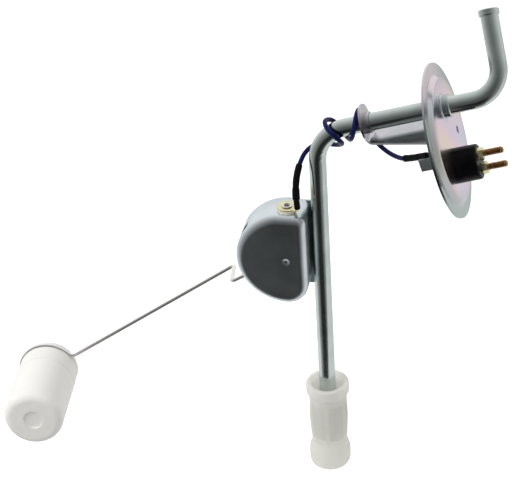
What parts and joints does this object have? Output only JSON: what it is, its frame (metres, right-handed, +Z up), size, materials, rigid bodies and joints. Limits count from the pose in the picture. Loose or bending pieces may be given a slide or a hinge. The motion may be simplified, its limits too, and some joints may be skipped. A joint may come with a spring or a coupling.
{
  "type": "fuel level sender",
  "caption": "Fuel tank sender: round flange with bent pick-up tube, D-shaped resistor can, hinged wire arm with cylindrical float, foot strainer, terminal block and lead.",
  "frame": {"origin": "centre of the flange, on the face of the rim that seats on the tank", "axes": "+X is the flange's outward normal, away from the tank, +Z is up the flange, from the terminal block's side to the tube's side, and +Y completes the frame"},
  "size_m": [0.331, 0.1035, 0.2583],
  "materials": {
    "zinc_iridescent": "iridescent yellow-pink zinc passivate",
    "zinc_tube": "satin blue-grey zinc plate",
    "zinc_bracket": "satin zinc plate",
    "zinc_plate": "satin zinc plate",
    "zinc_can": "satin blue-grey zinc plate on drawn steel",
    "bright_steel": "bright drawn wire",
    "bush_brass": "turned",
    "hub_brass": "turned",
    "contact_bronze": "rolled strip and wire",
    "stud_brass": "threaded, coppery",
    "card_board": "laminated board",
    "black_moulding": "glossy black moulding",
    "black_sleeve": "heat-shrunk sleeve",
    "cream_insulator": "pressed washer",
    "zinc_yellow": "yellow zinc passivate",
    "rivet_zinc": "zinc plate",
    "float_white": "milky moulded plastic",
    "strainer_white": "translucent moulded plastic",
    "mesh_white": "fine woven filter mesh",
    "lead_blue": "soft covered wire"
  },
  "bodies": {
    "sender": {"flange": "zinc_iridescent", "pickup_tube": "zinc_tube", "gusset_bracket": "zinc_bracket", "back_plate": "zinc_plate", "can_cover": "zinc_can", "front_bush": "bush_brass", "rear_bush": "bush_brass", "thrust_spring": "bright_steel", "resistor_card": "card_board", "resistance_winding": "contact_bronze", "card_posts": "black_moulding", "terminal_washer": "cream_insulator", "terminal_bush": "cream_insulator", "lead_lug": "zinc_yellow", "terminal_rivet": "rivet_zinc", "contact_strip": "contact_bronze", "terminal_block": "black_moulding", "block_insulator": "cream_insulator", "signal_stud": "stud_brass", "earth_stud": "stud_brass", "stud_washers": "zinc_yellow", "stud_nuts": "stud_brass", "terminal_tab": "zinc_plate", "earth_strap": "zinc_plate", "strainer_cage": "strainer_white", "strainer_mesh": "mesh_white", "lead_wire": "lead_blue", "can_sleeve": "black_sleeve", "tank_sleeve": "black_sleeve"},
    "arm": {"pivot_shaft": "bright_steel", "shaft_clip": "bright_steel", "arm_hub": "hub_brass", "wiper": "contact_bronze", "float_arm": "bright_steel", "float_cap": "float_white", "float_body": "float_white"}
  },
  "joints": [
    {"name": "arm_pivot", "type": "hinge", "parent": "sender", "child": "arm", "pos_m": [-0.10362, 0, -0.04684], "axis": [0, 1, 0], "range_deg": [0, 68]}
  ]
}
